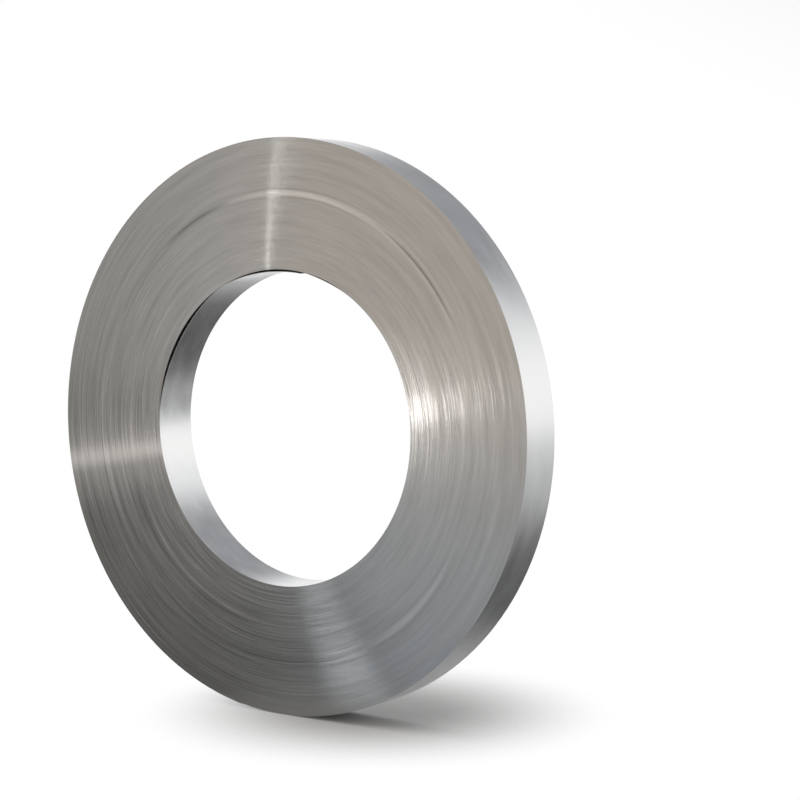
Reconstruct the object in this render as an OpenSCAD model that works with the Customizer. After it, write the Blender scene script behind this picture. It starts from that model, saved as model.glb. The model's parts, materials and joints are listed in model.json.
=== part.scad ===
// Slit aluminium strip wound into a coil that stands on its rim.
// The coil's axis lies along Y, its front end faces -Y, and the floor is at Z = 0.

/* [Strip] */
// Width of the strip, which is the coil's length along its axis
strip_width = 79; // [20:1:200]
// Thickness of the strip
strip_gauge = 0.8; // [0.4:0.1:2]

/* [Winding] */
// Diameter of the mandrel that the strip was wound on
bore_d = 508; // [300:1:610]
// Laps of strip, besides the half lap that brings the outer end to the underside
laps = 260; // [200:10:400]
// Angle of the strip's inner end, from +X towards +Z; the outer end is half a turn further on
start_angle = 80; // [20:1:80]

/* [Ends] */
// Laps in a row that wandered sideways together
laps_per_band = 10; // [5:1:20]
// Sideways distance between the bands that wandered furthest apart
wander = 0.8; // [0.2:0.1:2]
// Lap after which the winding was slackened, counted from the bore
slack_lap = 150; // [40:10:190]
// Gap that the slack left between two laps
slack_gap = 1.2; // [0.5:0.1:3]
// Depth to which that gap is open at each end
slack_depth = 3; // [2:0.5:9]

/* [Hidden] */
$fn = 240;
bore_r = bore_d / 2;
bands = ceil(laps / laps_per_band);
slack_band = min(round(slack_lap / laps_per_band), bands - 1);

// The spiral is drawn as half turns about two centres, half a gauge apart on the line through the inner end,
// so each half turn grows by half a gauge and both ends of the strip are square steps one gauge high.
first_centre = -strip_gauge / 4;
second_centre = strip_gauge / 4;
second_bore_r = bore_r + strip_gauge / 2;
axis_height = second_bore_r + laps * strip_gauge + slack_gap - second_centre * sin(start_angle);

// Bands step sideways through eight places, five at a time, so that neighbours never line up.
places = 8;
stride = 5;
function band_shift(i) = wander * (0.5 - (stride * i) % places / (places - 1));

// Distance of a band's two edges from the bore, where the outermost band takes up the laps that are left over.
function slack(i) = i < slack_band ? 0 : slack_gap;
function inner_edge(i) = i * laps_per_band * strip_gauge + slack(i);
function outer_edge(i, half_laps) =
    (i == bands - 1 ? half_laps : (i + 1) * laps_per_band) * strip_gauge + slack(i);

// One end of the winding from the bore outwards: +1 is the front end and -1 the rear end.
function end_line(end, half_laps) = [
    for (i = [0 : bands - 1]) each [
        if (i == slack_band) each [
            [inner_edge(i) - slack_gap, end * (strip_width / 2 - slack_depth)],
            [inner_edge(i), end * (strip_width / 2 - slack_depth)]
        ],
        [inner_edge(i), band_shift(i) + end * strip_width / 2],
        [outer_edge(i, half_laps), band_shift(i) + end * strip_width / 2]
    ]
];

function reversed(points) = [for (i = [len(points) - 1 : -1 : 0]) points[i]];

// Half of the winding, turned about its own centre from the given angle.
module half_winding(angle, centre, inner_r, half_laps) {
    translate([centre, 0, 0])
        rotate([0, 0, angle])
            rotate_extrude(angle = 180)
                translate([inner_r, 0])
                    polygon(concat(end_line(1, half_laps), reversed(end_line(-1, half_laps))));
}

// The wound strip, with its inner end showing in the bore and its outer end lying under the coil.
module strip_coil() {
    color([0.72, 0.73, 0.74])
        translate([0, 0, axis_height])
            rotate([90, -start_angle, 0]) {
                half_winding(0, first_centre, bore_r, laps + 1);
                half_winding(180, second_centre, second_bore_r, laps);
            }
}

strip_coil();
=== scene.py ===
import json
import math

import bpy
import numpy as np
from mathutils import Matrix, Vector


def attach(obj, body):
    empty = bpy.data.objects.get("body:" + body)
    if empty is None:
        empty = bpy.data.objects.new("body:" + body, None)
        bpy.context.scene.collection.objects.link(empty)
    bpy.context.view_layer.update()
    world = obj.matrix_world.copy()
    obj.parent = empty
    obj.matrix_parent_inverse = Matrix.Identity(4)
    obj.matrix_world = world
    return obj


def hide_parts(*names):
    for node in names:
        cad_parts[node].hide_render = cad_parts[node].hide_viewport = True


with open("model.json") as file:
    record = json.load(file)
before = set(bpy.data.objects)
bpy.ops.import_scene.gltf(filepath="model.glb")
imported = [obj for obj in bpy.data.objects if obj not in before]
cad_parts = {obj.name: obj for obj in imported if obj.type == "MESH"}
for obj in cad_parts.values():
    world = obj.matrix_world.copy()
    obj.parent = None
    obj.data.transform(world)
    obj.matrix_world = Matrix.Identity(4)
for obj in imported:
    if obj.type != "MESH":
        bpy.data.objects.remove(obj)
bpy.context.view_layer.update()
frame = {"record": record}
mounts = {mount["name"]: mount for mount in frame["record"]["mounts"]}
axisHeight = mounts["bore"]["pos_m"][2]
boreRadius = mounts["bore"]["dims"]["r_mm"] / 1000
stripWidth = mounts["bore"]["dims"]["length_mm"] / 1000
wander = -2 * mounts["front_end"]["pos_m"][1] - stripWidth  # sideways room that the laps have
print("frame loaded: bore radius", boreRadius, "strip width", stripWidth)

# the strip as it is wound, in metres and turns counted from its inner end
winding = {
    "gauge": 0.0008,
    "turns": 260.5,
    "slackTurn": 150,
    "slackGap": 0.0012,
    "startAngle": math.radians(80),
    "segments": 160,         # stations along one lap
    "bandTurns": 10,         # laps in a row that wandered sideways together
    "bandPlaces": 8,
    "bandStride": 5,
    "bandShare": 0.03,       # share of the bands' shift that shows between neighbours
    "stepTurns": 2.0,        # laps over which one band goes over into the next
    "leanTurns": 0.5,        # reach, either way, over which the slope of the end is measured
    "jitter": 0.000004,      # sideways play of one lap against the next
    "jitterTurns": 0.4,      # length of strip over which that play changes
    "leastStep": 0.0000002,  # neighbouring laps never lie quite flush
    "slip": 0.00002,         # air on each face of a lap that is a piece of its own
    "sharpAngle": math.radians(30),
    "seed": 7,
}
innerEnd = boreRadius - winding["gauge"] / 2

# painted highlight and painted shade on chosen laps: lighter arcs stand in for light caught by laps
# standing proud, darker ones for shade in the slack gap and on sunken laps; from and to in degrees,
# first lap, laps wide, lighter or darker share
paintedLapArcs = {
    "taper": 0.6,  # lower keeps a mark strong nearer to its two ends
    "marks": [
        # on the slack ring
        (50, 108, 144, 13, 0.36),
        (52, 92, 145, 11, 0.15),
        (54, 106, 142, 4, -0.12),
        (54, 106, 158, 4, -0.12),
        (106, 130, 144, 13, -0.30),
        (28, 60, 142, 6, 0.20),
        (28, 58, 149, 4, -0.20),
        (28, 60, 156, 6, 0.14),
        (226, 284, 145, 11, -0.20),
        (296, 330, 145, 12, 0.20),
        (296, 330, 136, 8, -0.10),
        (298, 330, 157, 8, -0.12),
        # lower left, from the bore outwards
        (178, 274, 66, 9, -0.13),
        (178, 262, 78, 9, 0.13),
        (176, 264, 90, 8, -0.12),
        (170, 240, 101, 8, 0.07),
        (178, 226, 140, 8, -0.10),
        (178, 226, 150, 8, 0.14),
        (178, 226, 160, 8, -0.13),
        (200, 262, 171, 7, 0.06),
        (180, 264, 180, 6, -0.06),
        (178, 280, 210, 7, -0.10),
        (178, 262, 220, 9, 0.12),
        (178, 256, 235, 8, -0.13),
        # a short one at the top
        (58, 70, 72, 6, -0.09),
    ],
}


def eased(part):
    return part * part * (3 - 2 * part)


# rises and falls again between two places, and is nothing outside them
def swell(place, start, end, taper):
    part = np.clip((place - start) / (end - start), 0, 1)
    return np.sin(math.pi * part) ** taper


# smooth random line, one value for each place along the strip
def wanderingLine(turns, spacing, seed):
    count = int(winding["turns"] / spacing) + 4  # a few past the last turn
    knots = np.random.default_rng(seed).uniform(-1, 1, count)
    place = np.asarray(turns) / spacing
    low = np.floor(place).astype(int)
    part = eased(place - low)
    return knots[low] * (1 - part) + knots[low + 1] * part


# share of the sideways room by which a band stands to the front
def bandShift(band):
    places = winding["bandPlaces"]
    return 0.5 - (winding["bandStride"] * band) % places / (places - 1)


# distance that the strip stands proud of the front end's middle plane
def sideways(turns):
    band = np.floor(turns / winding["bandTurns"])
    part = eased(np.clip((turns - band * winding["bandTurns"]) / winding["stepTurns"], 0, 1))
    shift = bandShift(band - 1) * (1 - part) + bandShift(band) * part
    play = winding["jitter"] * wanderingLine(turns, winding["jitterTurns"], winding["seed"])
    return shift * wander * winding["bandShare"] + play


# slope of the wound end at each place, outwards from the axis, seen from the front
def frontLean(turns):
    reach = winding["leanTurns"]
    after = sideways(np.clip(turns + reach, 0, winding["turns"]))
    before = sideways(np.clip(turns - reach, 0, winding["turns"]))
    return (before - after) / (2 * reach * winding["gauge"])


# share by which chosen laps are painted lighter, as a painted highlight, or darker, as painted shade,
# than the rest
def paintedLapTone(turns, angle):
    paintedLight = 0 * turns
    along = np.degrees(angle) % 360
    for start, end, nearLap, span, most in paintedLapArcs["marks"]:
        middle = nearLap + span / 2 - 0.5
        across = np.clip(1 - np.abs(turns - middle) / (span / 2), 0, 1)
        paintedLight = paintedLight + most * swell(along, start, end, paintedLapArcs["taper"]) * np.sqrt(across)
    return paintedLight


# radius of the strip's inner face, in a piece that starts inside the slack gap or outside it
def spiralRadius(turns, firstTurn):
    gap = winding["slackGap"] if firstTurn >= winding["slackTurn"] else 0
    return innerEnd + winding["gauge"] * turns + gap


def onCoil(radius, angle, y):
    return np.stack([radius * np.cos(angle), y, axisHeight + radius * np.sin(angle)], -1)


# four corners at each place: inner and outer at the front, then outer and inner at the rear
def stripCorners(inner, outer, angle, proud, lift=0):
    front = -stripWidth / 2 - proud
    rear = stripWidth / 2 - proud
    corners = [
        onCoil(inner - lift, angle, front),
        onCoil(outer - lift, angle, front),
        onCoil(outer, angle, rear),
        onCoil(inner, angle, rear),
    ]
    return np.stack(corners, -2).reshape(-1, 3)


# what those corners hold for the finishes: the slope of the end, and the painted highlight and shade
# of chosen laps
def cornerValues(turns, angle):
    slope = frontLean(turns)
    lean = np.stack([slope, slope, -slope, -slope], -1).ravel()
    paintedLight = np.repeat(paintedLapTone(turns, angle).ravel(), 4)
    return {"lean": lean, "paintedLight": paintedLight}


# faceFinish holds 0 for a lap's edge and 1 for a face of the strip
def newPiece(name, points, faces, faceFinish, values):
    mesh = bpy.data.meshes.new(name)
    mesh.from_pydata(points.tolist(), [], faces)
    for valueName, value in values.items():
        mesh.attributes.new(valueName, "FLOAT", "POINT").data.foreach_set("value", value)
    for finish in finishes:
        mesh.materials.append(finish)
    mesh.polygons.foreach_set("material_index", faceFinish)
    mesh.polygons.foreach_set("use_smooth", [True] * len(faces))
    mesh.set_sharp_from_angle(angle=winding["sharpAngle"])
    mesh.validate()
    piece = bpy.data.objects.new(name, mesh)
    bpy.context.scene.collection.objects.link(piece)
    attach(piece, "root")
    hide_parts("strip_coil")
    print("made", name, "with", len(faces), "faces")


# tightly wound laps as one closed spiral ring, from one whole turn to another
def woundLaps(name, firstTurn, lastTurn, loosen=None):
    laps = lastTurn - firstTurn
    segments = winding["segments"]
    lap, station = np.meshgrid(np.arange(laps + 1), np.arange(segments), indexing="ij")
    turns = firstTurn + lap + station / segments
    angle = winding["startAngle"] + 2 * math.pi * station / segments
    inner = spiralRadius(turns, firstTurn)
    outer = inner + winding["gauge"]
    if loosen:
        inner = inner + loosen(turns, angle)
        outer = outer + loosen(turns + 1, angle)
    proud = sideways(np.minimum(turns, winding["turns"]))
    for row in range(1, laps + 1):
        flush = np.abs(proud[row] - proud[row - 1]) < winding["leastStep"]
        proud[row, flush] = proud[row - 1, flush] + winding["leastStep"]
    points = stripCorners(inner, outer, angle, proud)
    values = cornerValues(turns, angle)
    everyLap = lap[:-1].ravel()
    everyStation = station[:-1].ravel()

    def index(lapNumber, stationNumber, corner):  # a lap's last station is the next lap's first
        lapNumber = lapNumber + stationNumber // segments
        return (lapNumber * segments + stationNumber % segments) * 4 + corner

    # faces from one corner of each lap to another, on the same lap or on a neighbour
    def quads(cornerA, cornerB, lapShift=0, keep=slice(None)):
        near = everyLap[keep]
        far = near + lapShift
        here = everyStation[keep]
        there = here + 1
        columns = [index(near, here, cornerA), index(far, here, cornerB),
                   index(far, there, cornerB), index(near, there, cornerA)]
        return np.stack(columns, 1).tolist()

    ends = quads(0, 1) + quads(2, 3)
    steps = quads(1, 0, 1, everyLap < laps - 1) + quads(3, 2, -1, everyLap > 0)
    strip = quads(3, 0, 0, everyLap == 0) + quads(1, 2, 0, everyLap == laps - 1)
    firstCut = [index(0, 0, 0), index(0, 0, 3), index(0, 0, 2),
                index(1, 0, 3), index(1, 0, 0), index(0, 0, 1)]
    lastCut = [index(laps, 0, 1), index(laps, 0, 2), index(laps, 0, 3),
               index(laps - 1, 0, 2), index(laps - 1, 0, 1), index(laps, 0, 0)]
    faces = ends + steps + strip + [firstCut, lastCut]
    faceFinish = [0] * len(ends) + [1] * (len(faces) - len(ends))
    used = np.unique(np.concatenate(faces))
    renumber = np.zeros(len(points), int)
    renumber[used] = np.arange(len(used))
    faces = [renumber[face].tolist() for face in faces]
    values = {valueName: value[used] for valueName, value in values.items()}
    newPiece(name, points[used], faces, faceFinish, values)


# part of one lap as a thin strip of its own, bowed away from the winding at its front edge
def singleLap(name, firstTurn, lastTurn, bow=None):
    count = round((lastTurn - firstTurn) * winding["segments"])
    turns = firstTurn + np.arange(count + 1) / winding["segments"]
    angle = winding["startAngle"] + 2 * math.pi * turns
    inner = spiralRadius(turns, firstTurn) + winding["slip"]
    outer = inner + winding["gauge"] - 2 * winding["slip"]
    proud = sideways(np.minimum(turns, winding["turns"]))
    lift = bow(turns) if bow else 0
    points = stripCorners(inner, outer, angle, proud, lift)
    faces = []
    faceFinish = []
    for start in range(0, 4 * count, 4):
        for corner in range(4):
            after = (corner + 1) % 4
            faces.append([start + corner, start + after, start + 4 + after, start + 4 + corner])
            faceFinish.append(corner % 2)
    faces += [[3, 2, 1, 0], [4 * count + corner for corner in range(4)]]
    faceFinish += [1, 1]
    newPiece(name, points, faces, faceFinish, cornerValues(turns, angle))


def shaderTree(name):
    material = bpy.data.materials.new(name)
    material.use_nodes = True
    tree = material.node_tree
    tree.nodes.clear()
    output = tree.nodes.new("ShaderNodeOutputMaterial")
    return material, tree, output


# puts a plain value or another node's output into a socket
def feed(tree, socket, value):
    if isinstance(value, bpy.types.NodeSocket):
        tree.links.new(value, socket)
    else:
        socket.default_value = value


def calc(tree, operation, *values):
    node = tree.nodes.new("ShaderNodeMath")
    node.operation = operation
    for socket, value in zip(node.inputs, values):
        feed(tree, socket, value)
    return node.outputs[0]


def calcVector(tree, operation, *vectors):
    node = tree.nodes.new("ShaderNodeVectorMath")
    node.operation = operation
    for socket, vector in zip(node.inputs, vectors):
        feed(tree, socket, vector)
    return node.outputs["Value" if operation in ("LENGTH", "DOT_PRODUCT") else "Vector"]


def scaled(tree, vector, scale):
    node = tree.nodes.new("ShaderNodeVectorMath")
    node.operation = "SCALE"
    tree.links.new(vector, node.inputs[0])
    tree.links.new(scale, node.inputs["Scale"])
    return node.outputs["Vector"]


def joinXyz(tree, *values):
    node = tree.nodes.new("ShaderNodeCombineXYZ")
    for socket, value in zip(node.inputs, values):
        feed(tree, socket, value)
    return node.outputs[0]


def splitXyz(tree, vector):
    node = tree.nodes.new("ShaderNodeSeparateXYZ")
    tree.links.new(vector, node.inputs[0])
    return node.outputs


# maps a value from one range to another; a noise mostly lies between 0.3 and 0.7
def spread(tree, value, low, high, fromLow=0.3, fromHigh=0.7, smooth=False):
    node = tree.nodes.new("ShaderNodeMapRange")
    if smooth:
        node.interpolation_type = "SMOOTHSTEP"
    node.inputs["From Min"].default_value = fromLow
    node.inputs["From Max"].default_value = fromHigh
    node.inputs["To Min"].default_value = low
    node.inputs["To Max"].default_value = high
    tree.links.new(value, node.inputs["Value"])
    return node.outputs[0]


# goes from one colour to another, where each is a plain one or another node's
def tone(tree, share, first, second):
    node = tree.nodes.new("ShaderNodeMix")
    node.data_type = "RGBA"
    for socket, colour in zip(node.inputs[6:8], (first, second)):  # the node's two colour sockets
        feed(tree, socket, (*colour, 1) if isinstance(colour, tuple) else colour)
    tree.links.new(share, node.inputs[0])
    return node.outputs[2]


# where a point lies: across the strip, away from the axis, which way that is, and how far round
def coilPlace(tree):
    x, y, z = splitXyz(tree, tree.nodes.new("ShaderNodeTexCoord").outputs["Object"])
    z = calc(tree, "SUBTRACT", z, axisHeight)
    flat = joinXyz(tree, x, 0.0, z)
    radius = calcVector(tree, "LENGTH", flat)
    outward = calcVector(tree, "NORMALIZE", flat)
    angle = calc(tree, "ARCTAN2", z, x)
    return {"y": y, "radius": radius, "outward": outward, "angle": angle}


# noise that is drawn out along the turns; a higher arc makes it shorter
def turnedNoise(tree, angle, arc, across, perMetre, detail, roughness=0.5):
    x = calc(tree, "MULTIPLY", calc(tree, "COSINE", angle), arc)
    y = calc(tree, "MULTIPLY", calc(tree, "SINE", angle), arc)
    z = calc(tree, "MULTIPLY", across, perMetre)
    node = tree.nodes.new("ShaderNodeTexNoise")
    node.inputs["Scale"].default_value = 1.0
    node.inputs["Detail"].default_value = detail
    node.inputs["Roughness"].default_value = roughness
    tree.links.new(joinXyz(tree, x, y, z), node.inputs["Vector"])
    return node.outputs[0]


def pointValue(tree, name):
    node = tree.nodes.new("ShaderNodeAttribute")
    node.attribute_name = name
    return node.outputs["Fac"]


def metalShader(tree, output, anisotropy):
    bsdf = tree.nodes.new("ShaderNodeBsdfPrincipled")
    bsdf.inputs["Metallic"].default_value = 1.0
    bsdf.inputs["Anisotropic"].default_value = anisotropy
    tree.links.new(bsdf.outputs[0], output.inputs["Surface"])
    return bsdf


# slit edges of the laps: fine lines along the turns, each leaning its own way
lapEdge = {
    "dark": (0.366, 0.366, 0.362),
    "light": (0.454, 0.454, 0.45),
    "roughness": (0.075, 0.10),
    "anisotropy": 1.0,
    "outwardLean": 0.03,  # rounding of each lap's edge, the same all over
    "arc": 2.5,
    "lineLean": 0.2,
    "linesPerMetre": 5200.0,
    "lineDetail": 0.0,
    "streakLean": 0.03,
    "streaksPerMetre": 110.0,
    "streakDetail": 4.0,
    "streakRoughness": 0.68,
    "warp": (0.016, -0.014),  # the outermost laps' sideways turn: beside the axis, above or below it
}


def lapEdgeMaterial():
    material, tree, output = shaderTree("lapEdge")
    place = coilPlace(tree)
    lines = turnedNoise(tree, place["angle"], lapEdge["arc"], place["radius"],
                        lapEdge["linesPerMetre"], lapEdge["lineDetail"])
    streaks = turnedNoise(tree, place["angle"], lapEdge["arc"], place["radius"],
                          lapEdge["streaksPerMetre"], lapEdge["streakDetail"],
                          lapEdge["streakRoughness"])
    bsdf = metalShader(tree, output, lapEdge["anisotropy"])
    metal = tone(tree, spread(tree, streaks, 0, 1), lapEdge["dark"], lapEdge["light"])
    # painted highlight and painted shade: chosen laps made lighter or darker in colour
    metal = scaled(tree, metal, calc(tree, "ADD", pointValue(tree, "paintedLight"), 1.0))
    tree.links.new(metal, bsdf.inputs["Base Color"])
    tree.links.new(spread(tree, streaks, *lapEdge["roughness"]), bsdf.inputs["Roughness"])

    # each line leans in or out, on top of the slope of the wound end
    middle = 0.5 * (lapEdge["lineLean"] + lapEdge["streakLean"]) - lapEdge["outwardLean"]
    tilt = calc(tree, "SUBTRACT", pointValue(tree, "lean"), middle)
    tilt = calc(tree, "MULTIPLY_ADD", streaks, lapEdge["streakLean"], tilt)
    tilt = calc(tree, "MULTIPLY_ADD", lines, lapEdge["lineLean"], tilt)
    normal = tree.nodes.new("ShaderNodeNewGeometry").outputs["Normal"]
    tilted = calcVector(tree, "ADD", normal, scaled(tree, place["outward"], tilt))

    # the further out, the more the laps are turned sideways
    outermost = spiralRadius(winding["turns"], winding["turns"]) + winding["gauge"]
    upward = splitXyz(tree, place["outward"])[2]
    warp = spread(tree, calc(tree, "MULTIPLY", upward, upward), *lapEdge["warp"], 0.0, 1.0)
    warp = calc(tree, "MULTIPLY", warp, spread(tree, place["radius"], 0, -1, boreRadius, outermost))
    warp = calc(tree, "MULTIPLY", warp, splitXyz(tree, normal)[1])
    tilted = calcVector(tree, "ADD", tilted, joinXyz(tree, warp, 0.0, 0.0))
    tree.links.new(calcVector(tree, "NORMALIZE", tilted), bsdf.inputs["Normal"])
    tree.links.new(place["outward"], bsdf.inputs["Tangent"])
    return material


# rolled faces of the strip, seen on the rim and in the bore: fine lines along the strip
stripFace = {
    "dark": (0.76, 0.765, 0.77),
    "light": (0.86, 0.865, 0.87),
    "roughness": (0.16, 0.26),
    "anisotropy": 0.6,
    "tilt": 0.03,
    "lineArc": 1.0,
    "linesPerMetre": 1800.0,
    "lineDetail": 2.0,
    "lineShare": 0.6,  # of the colour's change, and the clouds have the rest
    "cloudArc": 6.0,
    "cloudsPerMetre": 40.0,
    "cloudDetail": 3.0,
}


def stripFaceMaterial():
    material, tree, output = shaderTree("stripFace")
    place = coilPlace(tree)
    lines = turnedNoise(tree, place["angle"], stripFace["lineArc"], place["y"],
                        stripFace["linesPerMetre"], stripFace["lineDetail"])
    clouds = turnedNoise(tree, place["angle"], stripFace["cloudArc"], place["y"],
                         stripFace["cloudsPerMetre"], stripFace["cloudDetail"])
    bsdf = metalShader(tree, output, stripFace["anisotropy"])
    cloudPart = calc(tree, "MULTIPLY", clouds, 1 - stripFace["lineShare"])
    both = calc(tree, "MULTIPLY_ADD", lines, stripFace["lineShare"], cloudPart)
    metal = tone(tree, spread(tree, both, 0, 1), stripFace["dark"], stripFace["light"])
    tree.links.new(metal, bsdf.inputs["Base Color"])
    tree.links.new(spread(tree, clouds, *stripFace["roughness"]), bsdf.inputs["Roughness"])
    tilt = spread(tree, lines, -stripFace["tilt"], stripFace["tilt"])
    normal = tree.nodes.new("ShaderNodeNewGeometry").outputs["Normal"]
    across = joinXyz(tree, 0.0, 1.0, 0.0)
    tilted = calcVector(tree, "ADD", normal, scaled(tree, across, tilt))
    tree.links.new(calcVector(tree, "NORMALIZE", tilted), bsdf.inputs["Normal"])
    tree.links.new(across, bsdf.inputs["Tangent"])
    return material


finishes = [lapEdgeMaterial(), stripFaceMaterial()]
print("finishes made:", [finish.name for finish in finishes])

# the slack gap opens along a few arcs, in degrees, and looser laps inside it shut it between them
slack = {
    "looseLaps": 14,
    "shut": 0.00006,
    "arcs": [(109, 127, 0.0006), (28, 60, 0.0006), (226, 284, 0.0006)],
    "taper": 0.7,
}


def slackLoosen(turns, angle):
    along = np.degrees(angle) % 360
    gap = slack["shut"] + 0 * along
    for start, end, most in slack["arcs"]:
        gap = gap + (most - slack["shut"]) * swell(along, start, end, slack["taper"])
    near = np.clip((turns - winding["slackTurn"] + slack["looseLaps"]) / slack["looseLaps"], 0, 1)
    return near * (winding["slackGap"] - gap)


# the first lap stands off the winding in a few places: from and to in turns, and the depth
firstLap = {
    "bows": [(-0.035, 0.105, 0.0032), (0.105, 0.27, 0.0062), (0.94, 1.0, 0.0012)],
    "taper": 1.3,
}


def firstLapBow(turns):
    depth = 0 * turns
    for start, end, most in firstLap["bows"]:
        depth = depth + most * swell(turns, start, end, firstLap["taper"])
    return depth


wholeTurns = math.floor(winding["turns"])
singleLap("firstLap", 0, 1, firstLapBow)
woundLaps("innerLaps", 1, winding["slackTurn"], slackLoosen)
woundLaps("outerLaps", winding["slackTurn"], wholeTurns)
singleLap("lastLap", wholeTurns, winding["turns"])

# camera of the photograph, round the middle of the coil
photoCamera = {
    "azimuth": math.radians(37.79),
    "elevation": math.radians(5.22),
    "distance": 3.4126,
    "aimRight": 0.1705,
    "aimUp": 0.0427,
    "lens": 94.92,
}


def makeCamera():
    azimuth = photoCamera["azimuth"]
    elevation = photoCamera["elevation"]
    right = Vector((math.cos(azimuth), math.sin(azimuth), 0))
    level = Vector((math.sin(azimuth), -math.cos(azimuth), 0))
    back = level * math.cos(elevation) + Vector((0, 0, math.sin(elevation)))
    middle = Vector((0, 0, axisHeight))
    aim = middle + right * photoCamera["aimRight"] + back.cross(right) * photoCamera["aimUp"]
    data = bpy.data.cameras.new("photoCamera")
    data.lens = photoCamera["lens"]
    camera = bpy.data.objects.new("photoCamera", data)
    camera.location = middle + back * photoCamera["distance"]
    camera.rotation_euler = (aim - camera.location).to_track_quat("-Z", "Y").to_euler()
    bpy.context.scene.collection.objects.link(camera)
    bpy.context.scene.camera = camera


makeCamera()
print("camera placed")

# a grey floor round the coil that fades out into the white surround: its grey round the foot is a
# painted shadow pool, and it also takes the coil's real shadow
shadowPoolFloor = {
    "colour": (0.46, 0.46, 0.46),
    "middle": (0.11, 0.07, 0.0),
    "radius": 8.0,
    "sides": 96,
    "fade": (0.08, 0.40),
}


def makeFloor():
    bpy.ops.mesh.primitive_circle_add(vertices=shadowPoolFloor["sides"], radius=shadowPoolFloor["radius"],
                                      fill_type="NGON", location=shadowPoolFloor["middle"])
    floor = bpy.context.object
    floor.name = "floor"
    material, tree, output = shaderTree("shadowPoolFloor")
    away = calcVector(tree, "LENGTH", tree.nodes.new("ShaderNodeTexCoord").outputs["Object"])
    # painted shadow pool: the floor's grey fades into clear away from the foot
    fade = spread(tree, away, 0, 1, *shadowPoolFloor["fade"], smooth=True)
    matt = tree.nodes.new("ShaderNodeBsdfDiffuse")
    matt.inputs["Color"].default_value = (*shadowPoolFloor["colour"], 1)
    clear = tree.nodes.new("ShaderNodeBsdfTransparent")
    mix = tree.nodes.new("ShaderNodeMixShader")
    tree.links.new(fade, mix.inputs[0])
    tree.links.new(matt.outputs[0], mix.inputs[1])
    tree.links.new(clear.outputs[0], mix.inputs[2])
    tree.links.new(mix.outputs[0], output.inputs["Surface"])
    floor.data.materials.append(material)


# white behind the coil and pale in front, each with its own ground; blends are heights of the view
surround = {
    "front": (0.79, 0.765, 0.73),
    "frontGround": (0.475, 0.51, 0.555),
    "frontBlend": (-0.25, -0.08),
    "behind": (1.0, 1.0, 1.0),
    "behindGround": (0.40, 0.40, 0.40),
    "behindGroundBlend": (-0.42, -0.27),
    "behindBlend": (0.05, 0.4),  # how far back the front goes over into what is behind
}

# soft cards in the surround that shape the metal: degrees from the middle that are full and clear
cards = {
    "warmRight": {"toward": (-0.424, -0.887, 0.182), "full": 8, "clear": 20,
                  "tone": (0.86, 0.77, 0.68)},
    "left": {"toward": (-0.886, -0.462, -0.044), "full": 7, "clear": 24.5,
             "tone": (0.355, 0.336, 0.316)},
    "lowLeft": {"toward": (-0.740, -0.583, -0.335), "full": 9, "clear": 20.3,
                "tone": (0.155, 0.151, 0.143)},
    "highBehind": {"toward": (-0.10, 0.75, 0.65), "full": 15, "clear": 41,
                   "tone": (0.33, 0.335, 0.35)},
    "rightGround": {"toward": (0.60, 0.70, -0.40), "full": 4, "clear": 26,
                    "tone": (0.35, 0.35, 0.35)},
    "underRight": {"toward": (0.12, 0.76, -0.64), "full": 8, "clear": 29,
                   "tone": (0.11, 0.11, 0.11)},
    "rearGlow": {"toward": (0.603, 0.787, 0.124), "full": 2, "clear": 13,
                 "tone": (1.15, 1.14, 1.12)},
    "overhead": {"toward": (0, 0, 1), "full": 8, "clear": 40,
                 "tone": (1.1, 1.1, 1.1)},
    "lowRidge": {"toward": (-0.565, -0.776, -0.280), "full": 0.4, "clear": 2.2,
                 "tone": (1.45, 1.52, 1.59)},
}


def makeSurround():
    world = bpy.data.worlds.new("surround")
    bpy.context.scene.world = world
    world.use_nodes = True
    tree = world.node_tree
    tree.nodes.clear()
    output = tree.nodes.new("ShaderNodeOutputWorld")
    background = tree.nodes.new("ShaderNodeBackground")
    way = tree.nodes.new("ShaderNodeTexCoord").outputs["Generated"]
    _, depth, height = splitXyz(tree, way)
    frontShare = spread(tree, height, 0, 1, *surround["frontBlend"])
    front = tone(tree, frontShare, surround["frontGround"], surround["front"])
    behindShare = spread(tree, height, 0, 1, *surround["behindGroundBlend"])
    behind = tone(tree, behindShare, surround["behindGround"], surround["behind"])
    colour = tone(tree, spread(tree, depth, 0, 1, *surround["behindBlend"]), front, behind)
    for card in cards.values():
        toward = tuple(Vector(card["toward"]).normalized())
        near = calcVector(tree, "DOT_PRODUCT", way, toward)
        clear = math.cos(math.radians(card["clear"]))
        full = math.cos(math.radians(card["full"]))
        share = spread(tree, near, 0, 1, clear, full, smooth=True)
        colour = tone(tree, share, colour, card["tone"])
    tree.links.new(colour, background.inputs["Color"])
    tree.links.new(background.outputs[0], output.inputs["Surface"])


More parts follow.
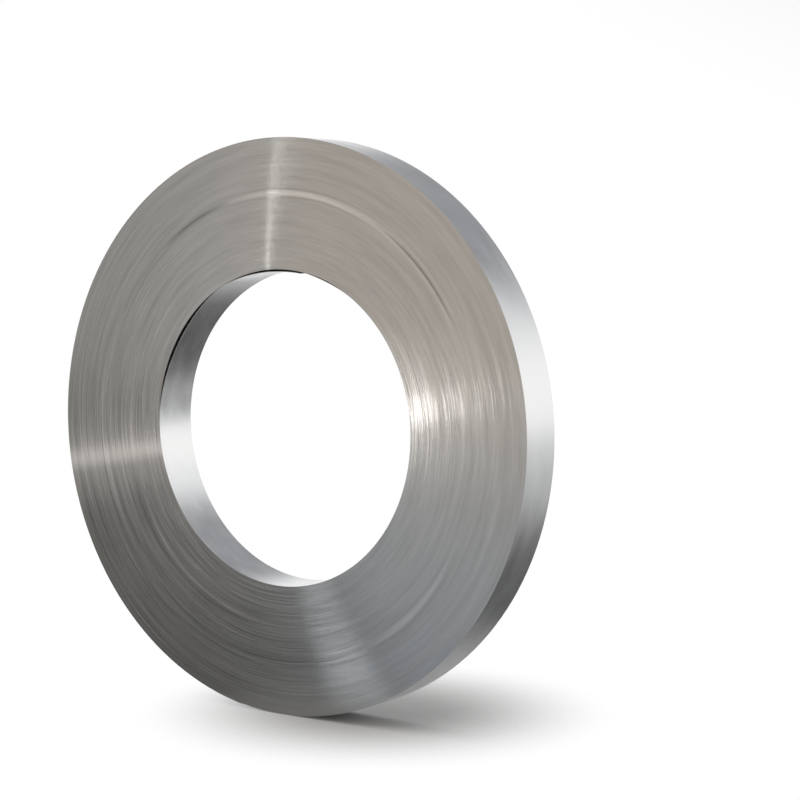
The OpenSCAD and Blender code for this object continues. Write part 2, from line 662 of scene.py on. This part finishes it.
# a lamp's second size lies along its long side, so that the streak it makes on the laps is narrow
lamps = {
    "key": {"place": (-0.6, -0.8, 3.4), "longSide": (1, 0, 0), "size": (3.0, 3.0),
            "watts": 34, "colour": (1, 1, 1), "onMetal": False},  # no white patch on the rim
    "tallStrip": {"place": (-3.783, -4.622, 1.205), "longSide": (-0.066, 0.213, 0.975),
                  "size": (0.014, 0.74), "watts": 0.125, "colour": (1, 1, 0.98)},
    "lowStrip": {"place": (-1.630, -2.542, 0.223), "longSide": (0.824, -0.550, 0.134),
                 "size": (0.12, 0.30), "watts": 1.15, "colour": (1, 0.95, 0.91), "feathered": True},
    "lowPanel": {"place": (-1.668, -2.518, 0.220), "longSide": (0.814, -0.562, 0.144),
                 "size": (0.42, 0.27), "watts": 2.0, "colour": (1, 0.95, 0.91), "feathered": True},
    "sideStrip": {"place": (-2.213, -1.984, 0.119), "longSide": (-0.637, 0.754, -0.162),
                  "size": (0.11, 0.86), "watts": 0.165, "colour": (1, 0.94, 0.89), "feathered": True},
    "sidePanel": {"place": (-2.213, -1.984, 0.107), "longSide": (-0.637, 0.754, -0.162),
                  "size": (0.38, 0.86), "watts": 0.27, "colour": (1, 0.94, 0.89), "feathered": True},
}


# lets a lamp fade towards its two long sides
def featherLamp(data):
    data.use_nodes = True
    tree = data.node_tree
    middle = 0.5  # halfway across the lamp
    across = splitXyz(tree, tree.nodes.new("ShaderNodeNewGeometry").outputs["Parametric"])[0]
    away = calc(tree, "ABSOLUTE", calc(tree, "SUBTRACT", across, middle))
    fade = spread(tree, away, 1, 0, 0, middle, smooth=True)
    tree.links.new(fade, tree.nodes["Emission"].inputs["Strength"])


def makeLamps():
    for name, lamp in lamps.items():
        data = bpy.data.lights.new(name, "AREA")
        data.shape = "RECTANGLE"
        data.size, data.size_y = lamp["size"]
        data.energy = lamp["watts"]
        data.color = lamp["colour"]
        if lamp.get("feathered"):
            featherLamp(data)
        light = bpy.data.objects.new(name, data)
        away = (Vector(lamp["place"]) - Vector((0, 0, axisHeight))).normalized()
        side = Vector(lamp["longSide"]).cross(away).normalized()
        turn = Matrix((side, away.cross(side), away)).transposed()
        light.matrix_world = Matrix.Translation(lamp["place"]) @ turn.to_4x4()
        light.visible_camera = False
        light.visible_glossy = lamp.get("onMetal", True)
        bpy.context.scene.collection.objects.link(light)


makeFloor()
makeSurround()
makeLamps()
bpy.context.scene.view_settings.view_transform = "Standard"
print("studio lit")
